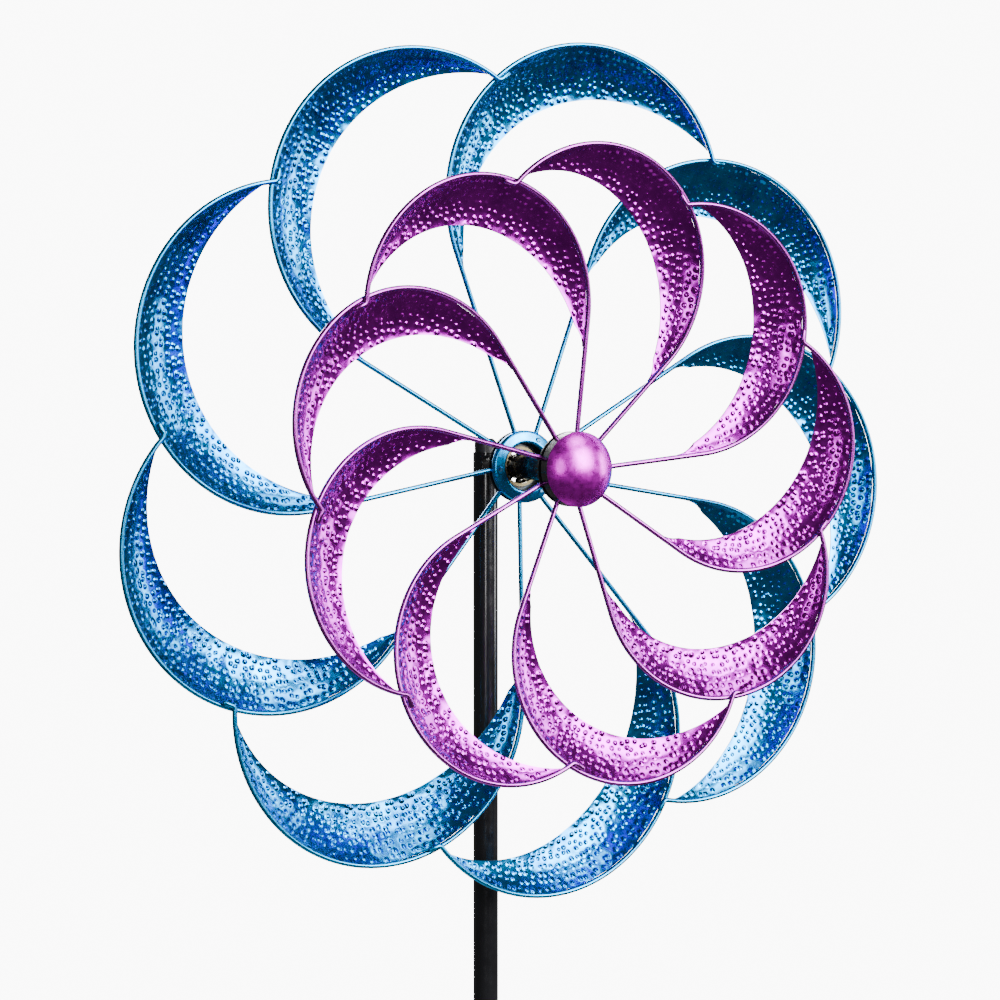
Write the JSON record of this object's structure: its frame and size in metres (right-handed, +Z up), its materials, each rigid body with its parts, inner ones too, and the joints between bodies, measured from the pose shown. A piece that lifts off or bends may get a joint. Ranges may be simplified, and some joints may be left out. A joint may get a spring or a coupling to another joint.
{
  "type": "wind spinner",
  "caption": "Garden wind spinner: a small purple and a larger blue rotor of hammered crescent blades turn opposite ways on one axle at the top of a black forked stake.",
  "frame": {"origin": "centre of the four ground prongs on the stake axis, at the ground line", "axes": "+Z up along the stake, -Y is the front that both rotors face, X to the sides"},
  "size_m": [0.6042, 0.1873, 2.0895],
  "materials": {
    "front_wire": "candy metallic purple lacquer over bent steel rod, gloss",
    "front_blade": "candy metallic purple lacquer on hammered steel sheet, gloss",
    "rear_wire": "candy metallic blue lacquer over bent steel rod, gloss",
    "rear_blade": "candy metallic blue lacquer on hammered steel sheet, gloss",
    "front_dome": "magenta metallic lacquer, gloss",
    "rear_cover": "blue metallic lacquer, gloss",
    "hub_black": "black gloss enamel",
    "rivet": "steel rivet under blue lacquer",
    "bearing_steel": "yellow-zinc plated steel",
    "ball_steel": "polished",
    "axle_black": "black gloss enamel",
    "zinc": "zinc plated",
    "stake_black": "black gloss powder coat",
    "cap_plastic": "black polyethylene"
  },
  "bodies": {
    "stake": {"stake_top": "stake_black", "stake_middle": "stake_black", "stake_lower": "stake_black", "stake_cap": "cap_plastic", "joint_screws": "zinc", "fork_socket": "stake_black", "fork_prongs": "stake_black", "axle": "axle_black", "rear_bush": "axle_black", "spacer_tube": "axle_black", "axle_washer": "zinc", "axle_nut": "zinc", "front_inner_race": "bearing_steel", "rear_inner_race": "bearing_steel"},
    "rear_rotor": {"rear_wire_1": "rear_wire", "rear_wire_2": "rear_wire", "rear_wire_3": "rear_wire", "rear_wire_4": "rear_wire", "rear_wire_5": "rear_wire", "rear_wire_6": "rear_wire", "rear_wire_7": "rear_wire", "rear_wire_8": "rear_wire", "rear_wire_9": "rear_wire", "rear_blade_1": "rear_blade", "rear_blade_2": "rear_blade", "rear_blade_3": "rear_blade", "rear_blade_4": "rear_blade", "rear_blade_5": "rear_blade", "rear_blade_6": "rear_blade", "rear_blade_7": "rear_blade", "rear_blade_8": "rear_blade", "rear_blade_9": "rear_blade", "rear_hub_plate": "hub_black", "rear_hub_cover": "rear_cover", "rear_hub_rivets": "rivet", "rear_outer_race": "bearing_steel", "rear_bearing_balls": "ball_steel"},
    "front_rotor": {"front_wire_1": "front_wire", "front_wire_2": "front_wire", "front_wire_3": "front_wire", "front_wire_4": "front_wire", "front_wire_5": "front_wire", "front_wire_6": "front_wire", "front_wire_7": "front_wire", "front_wire_8": "front_wire", "front_wire_9": "front_wire", "front_blade_1": "front_blade", "front_blade_2": "front_blade", "front_blade_3": "front_blade", "front_blade_4": "front_blade", "front_blade_5": "front_blade", "front_blade_6": "front_blade", "front_blade_7": "front_blade", "front_blade_8": "front_blade", "front_blade_9": "front_blade", "front_hub_plate": "hub_black", "front_hub_cup": "hub_black", "front_dome": "front_dome", "front_outer_race": "bearing_steel", "front_bearing_balls": "ball_steel"}
  },
  "joints": [
    {"name": "rear_rotor_spin", "type": "hinge", "parent": "stake", "child": "rear_rotor", "pos_m": [0, -0.055, 1.6], "axis": [0, -1, 0], "continuous": true},
    {"name": "front_rotor_spin", "type": "hinge", "parent": "stake", "child": "front_rotor", "pos_m": [0, -0.125, 1.6], "axis": [0, -1, 0], "continuous": true}
  ]
}
